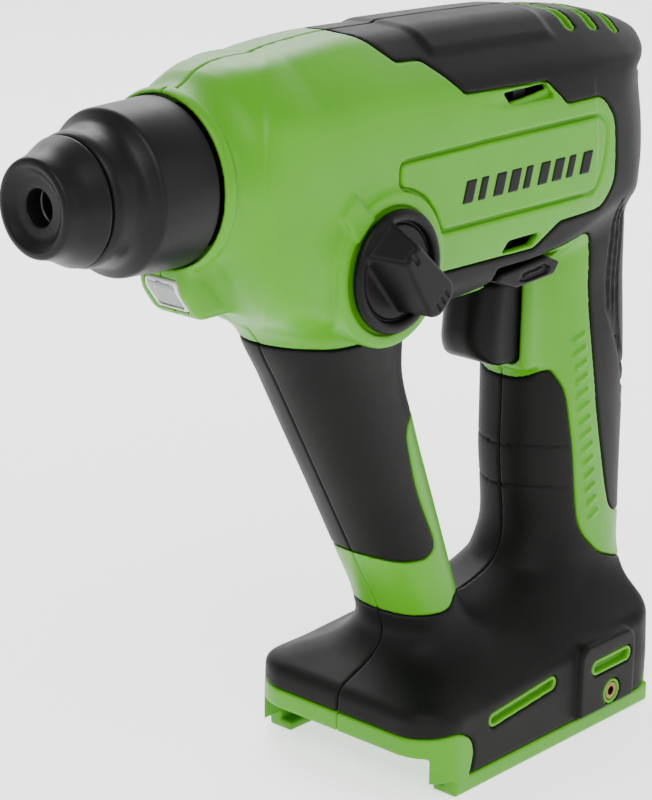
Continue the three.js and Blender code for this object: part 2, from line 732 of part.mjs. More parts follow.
function terminalBlock() {
  const base = solid(box([76, 94], [-15, 15], [CHANNEL_TOP - 6, CHANNEL_TOP + WALL + 4]));
  const slots = [-11, 0, 11].map((y) => (
    solid(box([70, 92], [y - 1.2, y + 1.2], [CHANNEL_TOP - 7, CHANNEL_TOP + 3]))
  ));
  return base.subtract(unite(slots));
}

function hookInsert(side) {
  const y = side < 0 ? [-PAD_FACE + 0.4, -33.6] : [33.6, PAD_FACE - 0.4];
  const body = solid(crossRod(y, 2.9, 84.2, 11.5, 16));
  const thread = side < 0 ? [-50, -35] : [35, 50];
  return body.subtract(solid(crossRod(thread, 1.6, 84.2, 11.5, 12)));
}

// ---------------------------------------------------------------- assembly
const group = new THREE.Group();
function add(name, shape, look) {
  const geometry = shape instanceof THREE.BufferGeometry ? closed(shape) : geometryOf(shape);
  const mesh = new THREE.Mesh(geometry, look);
  mesh.name = name;
  group.add(mesh);
}

const { drilled, skins } = housing();
const SKIN_NAMES = ["rear_overmold", "strut_overmold", "foot_overmold"];
for (const side of [-1, 1]) {
  const label = side < 0 ? "left" : "right";
  add(`housing_${label}`, largest(settled(half(drilled, side))), GREEN);
  skins.forEach((skin, k) => {
    add(`${SKIN_NAMES[k]}_${label}`, largest(settled(half(skin, side))), BLACK_RUBBER);
  });
  add(`hook_insert_${label}`, hookInsert(side), BRASS);
}
SCREW_SPOTS.forEach((spot, k) => add(`housing_screw_${k + 1}`, screw(spot), DARK_STEEL));

add("nose_cap", noseCap(), BLACK_RUBBER);
add("locking_sleeve", lockingSleeve(), BLACK_PLASTIC);
add("sleeve_spring", coilSpring([-92.9, -78.3], 13.6, 0.8, 4, AXIS), STEEL);
add("tool_holder", toolHolder(), STEEL);
add("lock_ball_upper", lockBall(1), STEEL);
add("lock_ball_lower", lockBall(-1), STEEL);
add("oil_seal", tube([SEAL_FRONT + GAP, -69.3], HOLDER_NECK + 0.4, 20, AXIS), BLACK_RUBBER);
add("spindle_front_bearing", tube([-69, -61], HOLDER_NECK + RUN, 20.1, AXIS), STEEL);
add("hammer_tube", tube([-60, TUBE_BACK], TUBE_BORE, TUBE_OUTER, AXIS), STEEL);
add("overload_clutch_spring", coilSpring([-57.6, -41.4], 15.2, 1.2, 4, AXIS), STEEL);
add("spindle_gear", gear([-40, -31], TEETH_SPINDLE, MODULE_OUTPUT, TUBE_OUTER + GAP, 0.5, AXIS), STEEL);
add("spindle_rear_bearing", tube([-3, 3], TUBE_OUTER + RUN, 16.4, AXIS), BRASS);
add("impact_bolt", turned([
  [-71.6, 0], [-71.6, 6.6], [-58, 6.6], [-58, 9.4], [-50, 9.4], [-50, 6], [-44, 6], [-44, 0],
], AXIS), STEEL);
add("striker", turned([
  [-36, 0], [-36, 9.5], [-29, 9.5], [-29, 8.2], [-26.4, 8.2], [-26.4, 9.5], [-18, 9.5], [-18, 0],
], AXIS), STEEL);
add("piston", piston(), ALUMINIUM);
add("piston_pin", pistonPin(), STEEL);

add("layshaft", rod([-50, 48], 4.5, LAYSHAFT_Z), STEEL);
add("spindle_pinion", gear([-41, -30], TEETH_PINION, MODULE_OUTPUT, 4.8, 0.5, LAYSHAFT_Z), STEEL);
add("clutch_sleeve", clutchSleeve(), STEEL);
add("shift_fork", shiftFork(), DARK_STEEL);
add("wobble_hub", wobbleHub(), STEEL);
add("wobble_ring", wobbleRing(), STEEL);
add("driven_gear", gear([33, 39], TEETH_DRIVEN, MODULE_INPUT, 4.8, 0.5, LAYSHAFT_Z), STEEL);
add("layshaft_front_bearing", tube([-50, -45], 4.55, 9.5, LAYSHAFT_Z), STEEL);
add("layshaft_rear_bearing", tube([42, 47], 4.55, 9.5, LAYSHAFT_Z), STEEL);
add("front_bracket", bracket([-50, -45], [162.4, 227], 24, [[17.6, AXIS], [9.8, LAYSHAFT_Z]]), ALUMINIUM);
add("spindle_bracket", bracket([-3, 3], [184, 227], 24, [[16.7, AXIS]]), ALUMINIUM);
add("motor_bracket", bracket([42, 48], [162.8, 227], 24, [[9.8, LAYSHAFT_Z], [8.3, MOTOR_Z]]), ALUMINIUM);

add("motor_shaft", turned([
  [30, 0], [30, 2], [42, 2], [42, 2.9], [108, 2.9], [108, 0],
], MOTOR_Z, 20), STEEL);
add("motor_pinion", gear([32, 40], TEETH_MOTOR, MODULE_INPUT, 2.3, 0.5, MOTOR_Z), STEEL);
add("motor_front_bearing", tube([42.4, 48], 2.95, 8, MOTOR_Z), STEEL);
add("cooling_fan", fanWheel(), BLACK_PLASTIC);
add("rotor", tube([63.5, 92.5], 3.2, 11.6, MOTOR_Z), DARK_STEEL);
add("stator", stator(), DARK_STEEL);
add("sensor_board", tube([95.4, 97], 6, 18, MOTOR_Z), BOARD);
add("motor_rear_bearing", tube([100, 106], 2.95, 7.5, MOTOR_Z), STEEL);

add("mode_dial", modeDial(), BLACK_PLASTIC);
add("dial_cam", dialCam(), WHITE);
add("trigger", trigger(), BLACK_PLASTIC);
const switchFront = TRIGGER_BACK + TRIGGER_TRAVEL + 1;
add("trigger_switch", box([switchFront, 106], [-9.5, 9.5], [123, 149]), BLACK_PLASTIC);
add("direction_selector", directionSelector(), BLACK_PLASTIC);
add("lamp_lens", lampLens(), CLEAR);
add("controller_board", box([20, 66], [-26, 26], [20, 22]), BOARD);
add("terminal_block", terminalBlock(), BLACK_PLASTIC);
[-11, 11].forEach((y, k) => {
  add(`battery_terminal_${k + 1}`, box([77, 91], [y - 0.5, y + 0.5], [9, 16.4]), BRASS);
});

export default group;
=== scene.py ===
"""Looks of the cordless rotary hammer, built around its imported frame.

The moulded shells, the dial, the trigger and the selector are distance fields on a voxel grid, meshed
with OpenVDB. Turned parts are spun from profiles. Lengths are millimetres in the frame's own axes.
"""

import json
import math

import bmesh
import bpy
import numpy as np
import openvdb
from mathutils import Matrix, Vector


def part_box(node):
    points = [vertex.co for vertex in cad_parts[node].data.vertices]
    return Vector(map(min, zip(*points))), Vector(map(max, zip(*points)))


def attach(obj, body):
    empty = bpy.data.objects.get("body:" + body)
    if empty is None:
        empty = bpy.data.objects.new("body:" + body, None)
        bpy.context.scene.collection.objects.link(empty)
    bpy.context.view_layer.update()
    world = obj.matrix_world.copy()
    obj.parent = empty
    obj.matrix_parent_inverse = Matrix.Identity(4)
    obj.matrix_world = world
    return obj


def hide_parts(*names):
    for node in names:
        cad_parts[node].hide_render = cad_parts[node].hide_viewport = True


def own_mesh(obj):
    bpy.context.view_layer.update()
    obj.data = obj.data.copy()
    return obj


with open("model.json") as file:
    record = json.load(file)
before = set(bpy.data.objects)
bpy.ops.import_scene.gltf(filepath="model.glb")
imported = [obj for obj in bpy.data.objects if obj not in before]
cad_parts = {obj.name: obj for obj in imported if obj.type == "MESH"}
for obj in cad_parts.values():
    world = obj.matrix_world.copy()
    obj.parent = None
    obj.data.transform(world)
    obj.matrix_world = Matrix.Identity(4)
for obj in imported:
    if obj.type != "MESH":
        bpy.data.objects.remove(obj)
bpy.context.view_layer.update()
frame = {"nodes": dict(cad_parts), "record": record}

MM = 0.001
VOXEL = 0.6
FINE = 0.4


def box_mm(node):
    """Lowest and highest corner of a CAD node in millimetres."""
    low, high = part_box(node)
    return np.array(low) * 1000, np.array(high) * 1000


# ---------------------------------------------------------------- driving dimensions, from the frame
HOLDER_LOW, HOLDER_HIGH = box_mm("tool_holder")
SLEEVE_LOW, SLEEVE_HIGH = box_mm("locking_sleeve")
CAP_LOW, CAP_HIGH = box_mm("nose_cap")
DIAL_LOW, DIAL_HIGH = box_mm("mode_dial")
TRIGGER_LOW, TRIGGER_HIGH = box_mm("trigger")
LENS_LOW, LENS_HIGH = box_mm("lamp_lens")
SHELL_LOW = box_mm("housing_left")[0]
INSERT_LOW, INSERT_HIGH = box_mm("hook_insert_left")

AXIS_Z = (HOLDER_LOW[2] + HOLDER_HIGH[2]) / 2
SLEEVE_BACK = SLEEVE_HIGH[0]
COLLAR_X = SLEEVE_BACK + 0.4
BODY_HALF = 30.0
FOOT_FRONT = SHELL_LOW[0] + 75.4
FOOT_BACK = FOOT_FRONT + 121.6
FOOT_HALF = 39.5
PAD_FACE = -SHELL_LOW[1]
DIAL_X = (DIAL_LOW[0] + DIAL_HIGH[0]) / 2
DIAL_Z = (DIAL_LOW[2] + DIAL_HIGH[2]) / 2
DIAL_RADIUS = (DIAL_HIGH[0] - DIAL_LOW[0]) / 2
SPRING_WIRE = 0.75  # half the wire's thickness
SPRING_TURNS = 4
BAR_COUNT = 9  # the plain slanted bars on each side panel
BAR_X = (12.0, 76.0)
BAR_Z = (185.4, 192.4)
BAR_WIDE = (5.0, 3.6, 5.0)
LEVER_ANGLE = -49.0  # degrees in the X-Z plane
TAB_ANGLE = 131.0
SCREWS = [box_mm(f"housing_screw_{i}") for i in range(1, 5)]
FLANGE_X = -78.0  # front face of the flange that the sleeve spring pushes on
HOOK_X = (INSERT_LOW[0] + INSERT_HIGH[0]) / 2
HOOK_Z = (INSERT_LOW[2] + INSERT_HIGH[2]) / 2
WALL = 3.0
RUBBER = 1.5
RAIL_TOP = 5.7
CHANNEL_TOP = 14.0


# ---------------------------------------------------------------- distance fields
def smin(a, b, k):
    """Smooth union of two fields, rounded over about k."""
    h = np.clip(0.5 + 0.5 * (b - a) / k, 0, 1)
    return b + (a - b) * h - k * h * (1 - h)


def smax(a, b, k):
    return -smin(-a, -b, k)


def curve(at, points):
    """A smooth curve through [position, value] pairs that never overshoots."""
    xs = np.array([p[0] for p in points], float)
    ys = np.array([p[1] for p in points], float)
    slopes = np.diff(ys) / np.diff(xs)
    tangent = np.zeros(len(xs))
    tangent[0], tangent[-1] = slopes[0], slopes[-1]
    for i in range(1, len(xs) - 1):
        if slopes[i - 1] * slopes[i] > 0:
            tangent[i] = 2 * slopes[i - 1] * slopes[i] / (slopes[i - 1] + slopes[i])
    at = np.clip(at, xs[0], xs[-1])
    k = np.clip(np.searchsorted(xs, at) - 1, 0, len(xs) - 2)
    width = xs[k + 1] - xs[k]
    t = (at - xs[k]) / width
    return ((2 * t**3 - 3 * t**2 + 1) * ys[k] + (t**3 - 2 * t**2 + t) * width * tangent[k]
            + (3 * t**2 - 2 * t**3) * ys[k + 1] + (t**3 - t**2) * width * tangent[k + 1])


def rounded(points, radius):
    """A closed outline with its corners turned into arcs. A third number is a corner's own size."""
    out = []
    count = len(points)
    for i in range(count):
        before, here, after = (np.array(points[(i + d) % count][:2], float) for d in (-1, 0, 1))
        to_before, to_after = before - here, after - here
        reach_before, reach_after = np.linalg.norm(to_before), np.linalg.norm(to_after)
        wanted = points[i][2] if len(points[i]) > 2 else radius
        reach = min(wanted, 0.45 * reach_before, 0.45 * reach_after)
        start = here + to_before / reach_before * reach
        end = here + to_after / reach_after * reach
        for t in np.linspace(0, 1, 6):
            out.append((1 - t)**2 * start + 2 * t * (1 - t) * here + t**2 * end)
    return np.array(out)


def polygon(u, v, points):
    """Signed distance to a closed outline on a broadcast grid, negative inside."""
    u, v = np.broadcast_arrays(u, v)
    best = np.full(u.shape, 1e9)
    sign = np.ones(u.shape)
    count = len(points)
    for i in range(count):
        ax, ay = points[i]
        bx, by = points[(i + 1) % count]
        ex, ey = bx - ax, by - ay
        wx, wy = u - ax, v - ay
        t = np.clip((wx * ex + wy * ey) / (ex * ex + ey * ey + 1e-12), 0, 1)
        best = np.minimum(best, (wx - ex * t)**2 + (wy - ey * t)**2)
        crosses = (v >= ay) != (v >= by)
        if ey != 0:
            left = u < ax + ex * (v - ay) / ey
            sign = np.where(crosses & left, -sign, sign)
    return sign * np.sqrt(best)


def polyline(u, v, points):
    """Distance to an open line."""
    best = np.full(np.broadcast(u, v).shape, 1e9)
    for (ax, ay), (bx, by) in zip(points[:-1], points[1:]):
        ex, ey = bx - ax, by - ay
        t = np.clip(((u - ax) * ex + (v - ay) * ey) / (ex * ex + ey * ey + 1e-12), 0, 1)
        best = np.minimum(best, (u - ax - ex * t)**2 + (v - ay - ey * t)**2)
    return np.sqrt(best)


def arc_corner(p, q, radius):
    """Where two faces meet, their outer corner becomes a circular arc."""
    outside = np.sqrt(np.maximum(p + radius, 0)**2 + np.maximum(q + radius, 0)**2)
    return outside + np.minimum(np.maximum(p, q) + radius, 0) - radius


def slab(w, low, high):
    return np.maximum(low - w, w - high)


def cuboid(x, y, z, low, high, radius=0.0):
    """A box with rounded edges."""
    parts = [np.abs(w - (a + b) / 2) - (b - a) / 2 + radius
             for w, a, b in zip((x, y, z), low, high)]
    outside = np.sqrt(sum(np.maximum(p, 0)**2 for p in parts))
    inside = np.minimum(np.maximum(np.maximum(parts[0], parts[1]), parts[2]), 0)
    return outside + inside - radius


def capsule(u, v, a, b, radius):
    return polyline(u, v, [a, b]) - radius


def even(field, voxel):
    """Rescales a field so that it grows by one for each millimetre near its surface."""
    steep = np.sqrt(sum(g**2 for g in np.gradient(field, voxel)))
    return field / np.clip(steep, 0.35, 4)


def grid(low, high, voxel):
    axes = [np.arange(a, b + voxel, voxel, dtype=np.float32) for a, b in zip(low, high)]
    return axes[0][:, None, None], axes[1][None, :, None], axes[2][None, None, :]


def mesh_field(name, field, low, voxel, mirror=False, whole=False):
    """Meshes a field's zero surface, mirrored across y = 0 or not. Whole keeps every island."""
    volume = openvdb.FloatGrid(background=3 * voxel)
    values = np.clip(field, -3 * voxel, 3 * voxel).astype(np.float32)
    volume.copyFromArray(values, tolerance=0.0)
    points, triangles, quads = volume.convertToPolygons(isovalue=0.0, adaptivity=0.0)
    points = points * voxel + np.array(low)
    if mirror:
        points[:, 1] *= -1
    faces = [list(f) for f in quads] + [list(f) for f in triangles]
    mesh = bpy.data.meshes.new(name)
    mesh.from_pydata((points * MM).tolist(), [], faces)
    piece = bpy.data.objects.new(name, mesh)
    bpy.context.scene.collection.objects.link(piece)
    finish_mesh(piece, whole=whole)
    return piece


def finish_mesh(piece, angle=None, whole=False):
    """Faces outwards, shaded smooth, with no loose crumbs."""
    mesh = piece.data
    edit = bmesh.new()
    edit.from_mesh(mesh)
    bmesh.ops.remove_doubles(edit, verts=edit.verts, dist=1e-7)
    if not whole:
        keep_largest(edit)
    bmesh.ops.recalc_face_normals(edit, faces=edit.faces)
    if edit.calc_volume(signed=True) < 0:
        bmesh.ops.reverse_faces(edit, faces=edit.faces)
    edit.to_mesh(mesh)
    edit.free()
    mesh.shade_smooth()
    if angle:
        mesh.set_sharp_from_angle(angle=angle)


def keep_largest(edit):
    """Deletes every island but the one with the most faces."""
    seen = set()
    islands = []
    for face in edit.faces:
        if face.index in seen:
            continue
        seen.add(face.index)
        island, stack = [], [face]
        while stack:
            here = stack.pop()
            island.append(here)
            for edge in here.edges:
                for other in edge.link_faces:
                    if other.index not in seen:
                        seen.add(other.index)
                        stack.append(other)
        islands.append(island)
    islands.sort(key=len, reverse=True)
    crumbs = [face for island in islands[1:] for face in island]
    if crumbs:
        bmesh.ops.delete(edit, geom=crumbs, context="FACES")


# ---------------------------------------------------------------- the moulded form
# Stations along X or up Z: the position first, then the value there, in millimetres.
BODY_TOP = [(-80, 226.9), (-77, 227.2), (-74.4, 227.7), (-72, 228.7), (-67, 231.8),
            (-60, 233.6), (-53, 234), (-46, 234), (-40, 234.7), (-30, 235.6), (-18, 236.2),
            (12, 235.8), (45, 235.2),
            (75, 234), (95, 232), (107, 229.4), (117, 226), (124, 222)]
BODY_BOTTOM = [(-80, 177.7), (-77, 177.4), (-74.4, 176.9), (-72, 175.4), (-67, 169.6),
               (-60, 162), (-53, 157), (-39, 151.5), (-18, 148), (12, 150), (45, 151),
               (75, 156), (95, 163), (124, 172)]
BODY_WIDTH = [(-80, 24.6), (-77, 24.9), (-74.4, 25.4), (-72, 26.4), (-67, 28.4), (-60, 29.5),
              (-52, BODY_HALF), (80, BODY_HALF), (95, 29.4), (130, 27)]
BODY_ROUND = [(-80, 1), (-75, 1), (-69, 0.74), (-63, 0.36), (-57, 0.12), (-50, 0), (124, 0)]
PLAN_START = 80.0  # from here the body's plan curves in towards its back
PLAN_LENGTH = 43.0
# How far the back is drawn in under the overhanging lip: height, millimetres.
BACK_TUCK = [(160, 1.4), (196, 1.4), (212.5, 3.4), (216.5, 0.6), (219, 0), (240, 0)]
# Cross-section from the top centre: share of the half-width, millimetres down from the top.
CROWN = [(0, 0), (0.4, 0.8), (0.68, 6.6), (0.95, 15.5), (1, 22)]
# From the bottom centre: share of the half-width, millimetres up from the bottom.
BELLY = [(0, 0), (0.35, 0.7), (0.7, 3), (0.93, 9), (1, 20)]
# Columns: height, front X, back X, half-width.
GRIP = [(33, 44, 118, 27), (41.5, 56, 124, 23), (50, 71.5, 126, 20.5), (62, 75.5, 127, 19),
        (75, 74, 127.4, 18.5), (90, 72.4, 127.4, 18.5), (112, 72.4, 126.4, 18.7),
        (140, 72.2, 122.8, 19.5), (155, 71, 119.6, 21.5), (170, 70, 117.6, 23),
        (185, 72, 119.4, 24), (208, 74, 116, 21)]
STRUT = [(31, 14, 56, 24), (39, 16, 49, 20), (50, 13, 41.5, 18), (68, 2.9, 35.5, 17),
         (93, -11.1, 26.5, 17), (113, -22.3, 19, 17.5), (135, -34.6, 12.5, 18),
         (147.5, -41.8, 12.6, 19.5), (160, -46, 14, 22), (176, -46, 14, 22)]


def body_field(x, a, z):
    """Motor body: a lofted section, cut by a rounded back. The value a is the distance from y=0."""
    top = curve(x, BODY_TOP)
    bottom = curve(x, BODY_BOTTOM)
    half = curve(x, BODY_WIDTH)
    faces = []
    for profile, base, way in ((CROWN, top, 1), (BELLY, bottom, -1)):
        for (s0, d0), (s1, d1) in zip(profile[:-1], profile[1:]):
            run = (s1 - s0) * BODY_HALF
            length = math.hypot(run, d1 - d0)
            across, along = (d1 - d0) / length, run / length
            faces.append((a - s0 * half) * across + way * (z - base + way * d0) * along)
    faces.append(a - half)
    section = faces[0]
    for face in faces[1:]:
        section = smax(section, face, 2.2)
    middle = (top + bottom) / 2
    circle = np.sqrt(a**2 + ((z - middle) * half * 2 / (top - bottom))**2) - half
    share = curve(x, BODY_ROUND)
    section = section * (1 - share) + circle * share
    behind = x + curve(z, BACK_TUCK) - PLAN_START
    reach = np.maximum(behind, 0) / PLAN_LENGTH
    plan = ((reach**2.2 + (a / BODY_HALF)**2.2)**(1 / 2.2) - 1) * BODY_HALF
    plan = np.where(behind > 0, plan, -20)
    section = section - crown_panel(x, a, z) + front_step(x, a) + side_tuck(x, z)
    return smax(smax(section, plan, 2), -78 - x, 1.2)


def ramp(value, start, end):
    """Rises smoothly from 0 at the start to 1 at the end."""
    t = np.clip((value - start) / (end - start), 0, 1)
    return t * t * (3 - 2 * t)


def crown_panel(x, a, z):
    """The rubber on top stands up as a low panel between the front step and the air slots."""
    across = ramp(a, 21.5, 19)
    return 0.9 * ramp(x - 0.12 * a, 4, 7.5) * ramp(x + 0.2 * a, 72, 67) * across * ramp(z, 222, 227)


def front_step(x, a):
    """The front dome sits a little below the body, behind a crease that sweeps forwards and down."""
    crease = -43.6 - 0.68 * a - 0.0065 * a**2
    return 0.5 * ramp(x, crease, crease - 2.4)


def side_tuck(x, z):
    """Below the lip that runs round the top of the back, the side is drawn in."""
    return 0.8 * ramp(x, 62, 100) * ramp(z, 219, 215.5)


def column_field(x, a, z, stations, power):
    """A leaning column whose level sections are superellipses."""
    front = curve(z, [(s[0], s[1]) for s in stations])
    back = curve(z, [(s[0], s[2]) for s in stations])
    half = curve(z, [(s[0], s[3]) for s in stations])
    reach = (back - front) / 2
    u = np.abs(x - (front + back) / 2) / reach
    v = a / half
    field = ((u**power + v**power)**(1 / power) - 1) * np.minimum(reach, half)
    return np.maximum(field, slab(z, stations[0][0], stations[-1][0]))


def foot_field(x, a, z):
    """Battery foot: rounded plan, a soft shoulder that climbs towards the back."""
    corner = 15.0
    rise = 31 + 5 * np.clip((x - 20) / 90, 0, 1)
    u = np.abs(x - (FOOT_FRONT + FOOT_BACK) / 2) - (FOOT_BACK - FOOT_FRONT) / 2 + corner
    v = a - FOOT_HALF + corner
    plan = np.sqrt(np.maximum(u, 0)**2 + np.maximum(v, 0)**2) + np.minimum(np.maximum(u, v), 0) - corner
    plan = plan + 0.035 * np.maximum(z - 18, 0)
    roof = (z - rise) * 0.93 + (a - 30) * 0.37
    front_roof = (z - 31) * 0.93 - (x - FOOT_FRONT - 8) * 0.36
    return np.maximum(smax(smax(plan, roof, 3.4), front_roof, 3.4), RAIL_TOP - z)


def chin_slope(x, z):
    """Sloping front of the chin that holds the work light."""
    return -(x + 81) * 0.8 - (z - 172) * 0.6


def outer_form(x, a, z):
    body = body_field(x, a, z)
    form = smin(body, column_field(x, a, z, STRUT, 2.3), 4)
    form = smin(form, column_field(x, a, z, GRIP, 2.5), 7)
    lamp = cuboid(x, a, z, (-81.2, -12, 163), (-50, 9.6, 186), 3)
    form = smin(form, smax(lamp, chin_slope(x, z), 2.4), 4)
    collar = np.sqrt(a**2 + (z - AXIS_Z)**2) - 24.8 - 0.3 * (x - COLLAR_X)
    collar = smax(collar, slab(x, COLLAR_X, COLLAR_X + 4.4), 1.8)
    form = smin(form, collar, 0.9)
    guard = cuboid(x, a, z, (66.4, -20, TRIGGER_LOW[2] - 3.2), (84, 14.2, 156), 3)
    form = smin(form, guard, 4)
    return smin(form, foot_field(x, a, z), 9)


# ---------------------------------------------------------------- regions seen from the side
REAR_REGION = rounded([
    (-16, 260), (-16, 236.4, 1), (-14.2, 235.4), (-8, 228.3), (2.2, 227.9), (13.9, 217.5),
    (52.9, 216.3), (62.4, 208.4), (81, 208.5, 4), (88.5, 200.4, 4), (90.6, 180, 7), (83.8, 172.4, 4),
    (61.4, 172), (48.8, 165.6), (0, 166.3), (12, 150.5), (33.6, 157.1), (57.2, 162.7),
    (80, 164.6, 3), (86.6, 162, 4), (88.4, 156.7, 4), (95.3, 124.9, 8), (101.5, 96, 8),
    (107.5, 72.4, 5), (110.6, 62.5, 4), (119, 59.4, 4), (140, 55), (140, 260)], 1.4)
STRUT_REGION = rounded([
    (-60, 148.6), (-39.5, 148.6, 5), (-26.8, 147.2, 5), (-14.7, 147.8), (-7, 149.4), (8, 149.4),
    (20, 149.2), (22, 121), (14, 119), (6.4, 116.2), (5.6, 112), (10.8, 94, 8), (20.3, 75.5),
    (20.2, 72.6), (16.5, 70.3), (7.5, 70.6, 5), (0, 73.1), (-20, 75.4), (-60, 75.4)], 2.5)
FOOT_REGION = rounded([
    (-20, 18.6), (-5, 20.4), (8, 21.4), (13.6, 17.6), (15, 12.8), (13.6, 7), (12.6, RAIL_TOP),
    (105.4, RAIL_TOP), (108, 12.6), (130, 16), (130, 41.5), (114.7, 44.6), (102.4, 49.6),
    (94.9, 57.6), (92.6, 63.2, 6), (89.3, 89.4, 8), (85.1, 109.5, 6), (79.5, 117.4, 3),
    (76.2, 117, 2), (73.6, 113.8, 2), (60, 113.4), (60, 60), (44, 53), (34, 54.4), (29.8, 54),
    (27.4, 50.7), (17.4, 50), (12, 50), (-20, 53)], 3.5)
LABEL = rounded([
    (-15.6, 202), (20, 202.6, 5), (80.6, 202.8), (84.4, 198.4), (83.6, 190, 5), (81.8, 183.4),
    (78.4, 178.6), (3.2, 178.7), (0.5, 184.8), (-4.6, 190.4), (-11, 193.6), (-15.6, 194.4)], 2.5)

VENT_UPPER = rounded([(31.2, 215.7), (52.4, 215.6), (53.6, 214), (45, 212.9), (34.4, 212)], 0.6)
VENT_LOWER = rounded([(33, 166.8), (48, 167), (51.5, 170.2), (36, 170.2)], 0.8)
SCOOP_UPPER = rounded([(16, 215.2), (34, 211.4), (56, 211.4), (51.5, 216), (18, 216.4)], 1)
TOP_SLOTS = (78.8, 90.6, 101.6)
RIB_COUNT = 14
RIB_LOW = (100.6, 63.5)
RIB_HIGH = (88.6, 127)
SKIN_OF = {"rear": "rear_overmold", "strut": "strut_overmold", "foot": "foot_overmold"}
CACHE = {}  # the outer form, shared by the two halves


def shell_cuts(x, a, z, side):
    """Openings through the hard shell: bore, trigger mouth, channel, lamp window and vents."""
    ring = np.sqrt(a**2 + (z - AXIS_Z)**2)
    cuts = [
        np.maximum(ring - 23.95, slab(x, -100, -74)),
        np.maximum(ring - 20.4, slab(x, -100, -60)),
        cuboid(x, a, z, (55, -20, TRIGGER_LOW[2] - 0.7), (84, TRIGGER_HIGH[1] + 0.5, 151.2), 3.2),
        cuboid(x, a, z, (32.4, -60, 153.2), (65.6, 60, 162), 1),
        cuboid(x, a, z, (-95, -20, LENS_LOW[2] + 0.1),
               (-69, LENS_HIGH[1] + 0.1, LENS_HIGH[2] + 0.1), 1.2),
        cuboid(x, a, z, (-30, -60, 5), (FOOT_BACK - 8, 34.5, CHANNEL_TOP), 1),
        cuboid(x, a, z, (74, -60, CHANNEL_TOP - 1), (96, 16, CHANNEL_TOP + WALL + 2), 0.5),
        np.maximum(polygon(x, z, VENT_UPPER), slab(a, 20, 40)),
        np.maximum(polygon(x, z, VENT_LOWER), slab(a, 18, 40)),
        np.maximum(polygon(x, z, SCOOP_UPPER), slab(a + 0.065 * (x - 18), 30, 40)),
    ]
    if side < 0:
        dial = np.sqrt((x - DIAL_X)**2 + (z - DIAL_Z)**2)
        cuts.append(np.maximum(dial - DIAL_RADIUS + 4, 20 - a))
    for slot_x in TOP_SLOTS:
        cuts.append(top_slot(x, a, z, slot_x) + 1.3)
    hole = np.sqrt((x - HOOK_X)**2 + (z - HOOK_Z)**2)
    cuts.append(np.maximum(hole - 3.2, 33 - a))
    whole = cuts[0]
    for cut in cuts[1:]:
        whole = np.minimum(whole, cut)
    return whole


def top_slot(x, a, z, slot_x):
    """One long slot across the crown, bowed forwards at its ends."""
    centre = slot_x - 0.0045 * a**2
    return np.maximum(np.sqrt((x - centre)**2 + np.maximum(a - 17.4, 0)**2 * 4) - 2.5, 222 - z)


def shell_half(side):
    """Distance fields of one side's hard shell and rubber skins, in distance-from-seam space."""
    low = (-84.0, -1.8, -2.0)
    x, signed, z = grid(low, (131, 44, 239), VOXEL)
    a = np.abs(signed)
    if "form" not in CACHE:
        CACHE["form"] = even(outer_form(x, a, z), VOXEL).astype(np.float32)
    form = CACHE["form"]
    seam = 0.03 - signed
    flat = {"rear": polygon(x, z, REAR_REGION), "strut": polygon(x, z, STRUT_REGION),
            "foot": polygon(x, z, FOOT_REGION)}
    pad = pad_field(x, a, z)
    boss = boss_field(x, a, z) if side < 0 else None
    cuts = shell_cuts(x, a, z, side)
    skin_form = smin(form, pad, 1.2)
    if boss is not None:
        skin_form = np.maximum(skin_form, -(boss - 0.25))
    skins = {}
    for name, region in flat.items():
        skin = smax(skin_form, region + 0.16, 0.9)
        skin = np.maximum(skin, -(skin_form + RUBBER))
        skin = smax(skin, seam, 0.5)
        skin = np.maximum(skin, -(cuts - 0.3))
        skins[name] = skin
    for slot_x in TOP_SLOTS:
        skins["rear"] = smax(skins["rear"], -top_slot(x, a, z, slot_x), 0.5)
    for line in foot_slots(x, z):
        skins["foot"] = smax(skins["foot"], -(line - 0.1), 0.5)
    hole = np.sqrt((x - HOOK_X)**2 + (z - HOOK_Z)**2)
    skins["foot"] = smax(skins["foot"], -(hole - 4.6), 0.5)
    grooves(skins, x, a, z, skin_form)

    region = np.minimum(np.minimum(flat["rear"], flat["strut"]), flat["foot"])
    pocket = np.maximum(region - 0.16, -(skin_form + RUBBER + 0.2))
    plugs = np.maximum(hole - 4.3, -(skin_form + 4))
    for line in foot_slots(x, z):
        plugs = np.minimum(plugs, np.maximum(line + 0.1, -(skin_form + 4)))
    for slot_x in TOP_SLOTS:
        plugs = np.minimum(plugs, top_slot(x, a, z, slot_x) + 0.2)
    pocket = np.maximum(pocket, -(plugs + 0.05))
    hard = smin(form, pad, 1.2)
    if boss is not None:
        hard = smin(hard, boss, 1.5)
    hard = np.minimum(hard, rail_field(x, a, z))
    hard = smax(hard, -pocket, 0.4)
    hard = smax(hard, -label_groove(x, a, z), 0.4)
    hard = np.maximum(hard, -hollow_field(form, x, a, z))
    for line in foot_slots(x, z):
        hard = smax(hard, -np.maximum(line + 1.3, -(skin_form + 2.6)), 0.4)
    hard = np.minimum(hard, ribs_field(x, a, z, form))
    hard = smax(hard, -cuts, 0.6)
    hard = np.minimum(hard, posts(x, a, z, form))
    if side > 0:
        hard = smax(hard, -screw_holes(x, a, z), 0.5)
        for name in skins:
            skins[name] = smax(skins[name], -(screw_holes(x, a, z) - 0.5), 0.5)
    hard = smax(hard, seam, 0.4)
    return low, hard, skins


def pad_field(x, a, z):
    plate = polygon(x, z, rounded([(67, 0), (97, 0), (97, 28), (94, 31), (70, 31), (67, 28)], 2.5))
    return smax(plate, slab(a, 30, PAD_FACE), 1.4) + np.where(z < RAIL_TOP + 1, 9, 0)


